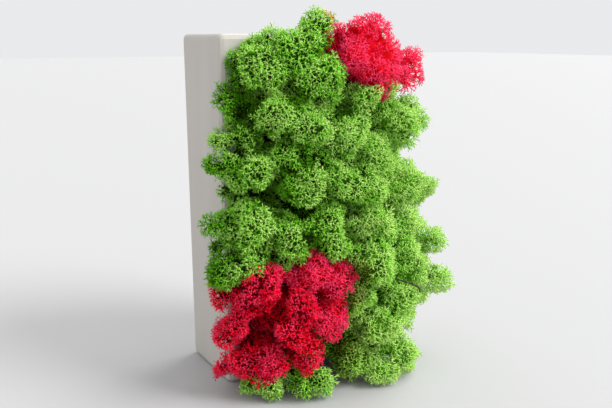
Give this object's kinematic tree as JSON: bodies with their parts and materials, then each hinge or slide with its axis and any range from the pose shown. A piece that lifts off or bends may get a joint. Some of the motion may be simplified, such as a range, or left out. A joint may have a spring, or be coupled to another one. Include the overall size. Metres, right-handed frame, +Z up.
{
  "type": "reindeer moss clump",
  "caption": "Cushions of green and crimson reindeer moss that fill and overhang the open side of a shallow white box stood on its narrow end.",
  "frame": {"origin": "the middle of the flat face that the holder stands on", "axes": "+X to the right as one faces the moss, -Y forward, out of the holder's open side, +Z up"},
  "size_m": [0.1929, 0.1285, 0.2559],
  "materials": {
    "holder_plaster": "matte",
    "pad_fibre": "matte",
    "green_moss": "matte",
    "crimson_moss": "matte"
  },
  "bodies": {
    "root": {"holder_box": "holder_plaster", "backing_pad": "pad_fibre", "green_top_left": "green_moss", "green_crown": "green_moss", "green_left_high": "green_moss", "green_centre_high": "green_moss", "green_centre": "green_moss", "green_right_high": "green_moss", "green_right_shoulder": "green_moss", "green_centre_right": "green_moss", "green_left_middle": "green_moss", "green_middle": "green_moss", "green_middle_right": "green_moss", "green_right": "green_moss", "green_left_big": "green_moss", "green_left_low": "green_moss", "green_centre_low": "green_moss", "green_right_low": "green_moss", "green_right_middle": "green_moss", "green_swell_left": "green_moss", "green_swell_right": "green_moss", "green_right_edge": "green_moss", "green_lower_right": "green_moss", "green_foot_right": "green_moss", "green_foot_corner": "green_moss", "green_foot_olive": "green_moss", "green_foot_middle": "green_moss", "green_foot_left": "green_moss", "crimson_top": "crimson_moss", "crimson_top_right": "crimson_moss", "crimson_middle": "crimson_moss", "crimson_left": "crimson_moss", "crimson_inner": "crimson_moss", "crimson_foot": "crimson_moss", "crimson_left_edge": "crimson_moss"}
  },
  "joints": []
}
